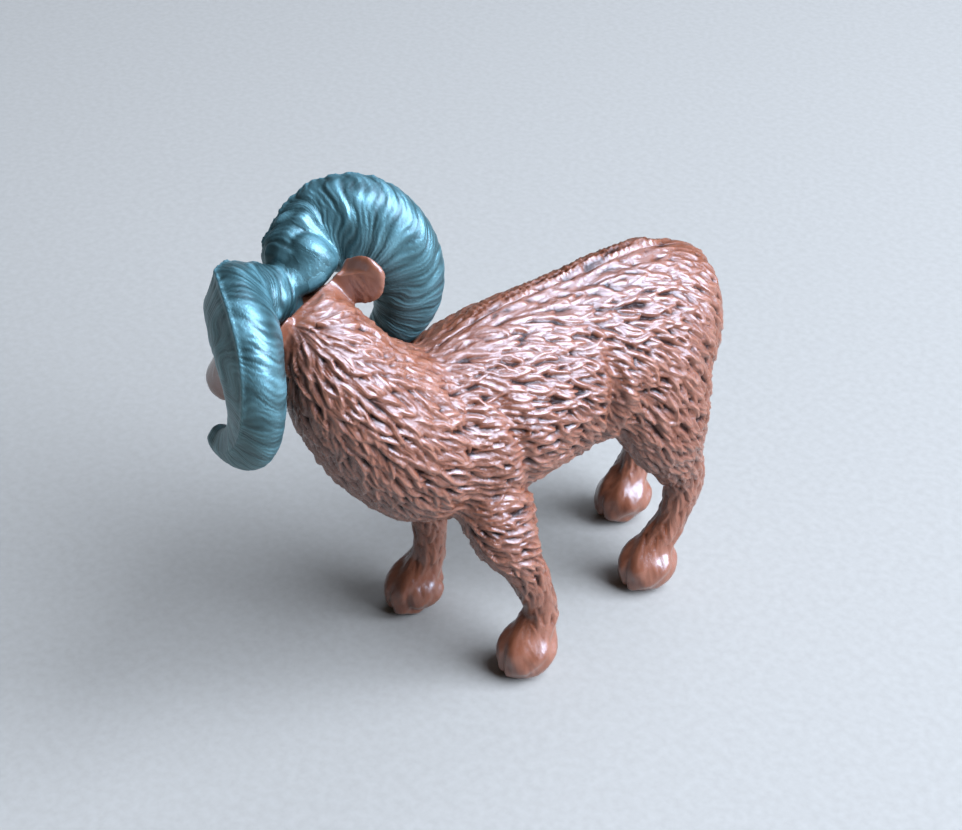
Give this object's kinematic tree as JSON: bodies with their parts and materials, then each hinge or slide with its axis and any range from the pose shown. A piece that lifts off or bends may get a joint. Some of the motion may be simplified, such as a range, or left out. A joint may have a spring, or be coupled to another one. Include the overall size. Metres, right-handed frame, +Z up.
{
  "type": "toy ram figurine",
  "caption": "Small moulded plastic ram standing with its head turned, hollow body in two pinned halves, and large curled horns plugged into the head.",
  "frame": {"origin": "on the ground, under the middle of the figure's outline", "axes": "+Z up; the ram walks towards -Y; +X is the ram's left side; the halves part on a plane square to X"},
  "size_m": [0.0236, 0.0486, 0.0459],
  "materials": {
    "body_plastic": "satin copper-brown moulded plastic with sculpted fleece",
    "horn_plastic": "satin dark grey-green moulded plastic with growth rings"
  },
  "bodies": {
    "root": {"body_left_half": "body_plastic", "body_right_half": "body_plastic", "horn_pair": "horn_plastic"}
  },
  "joints": []
}
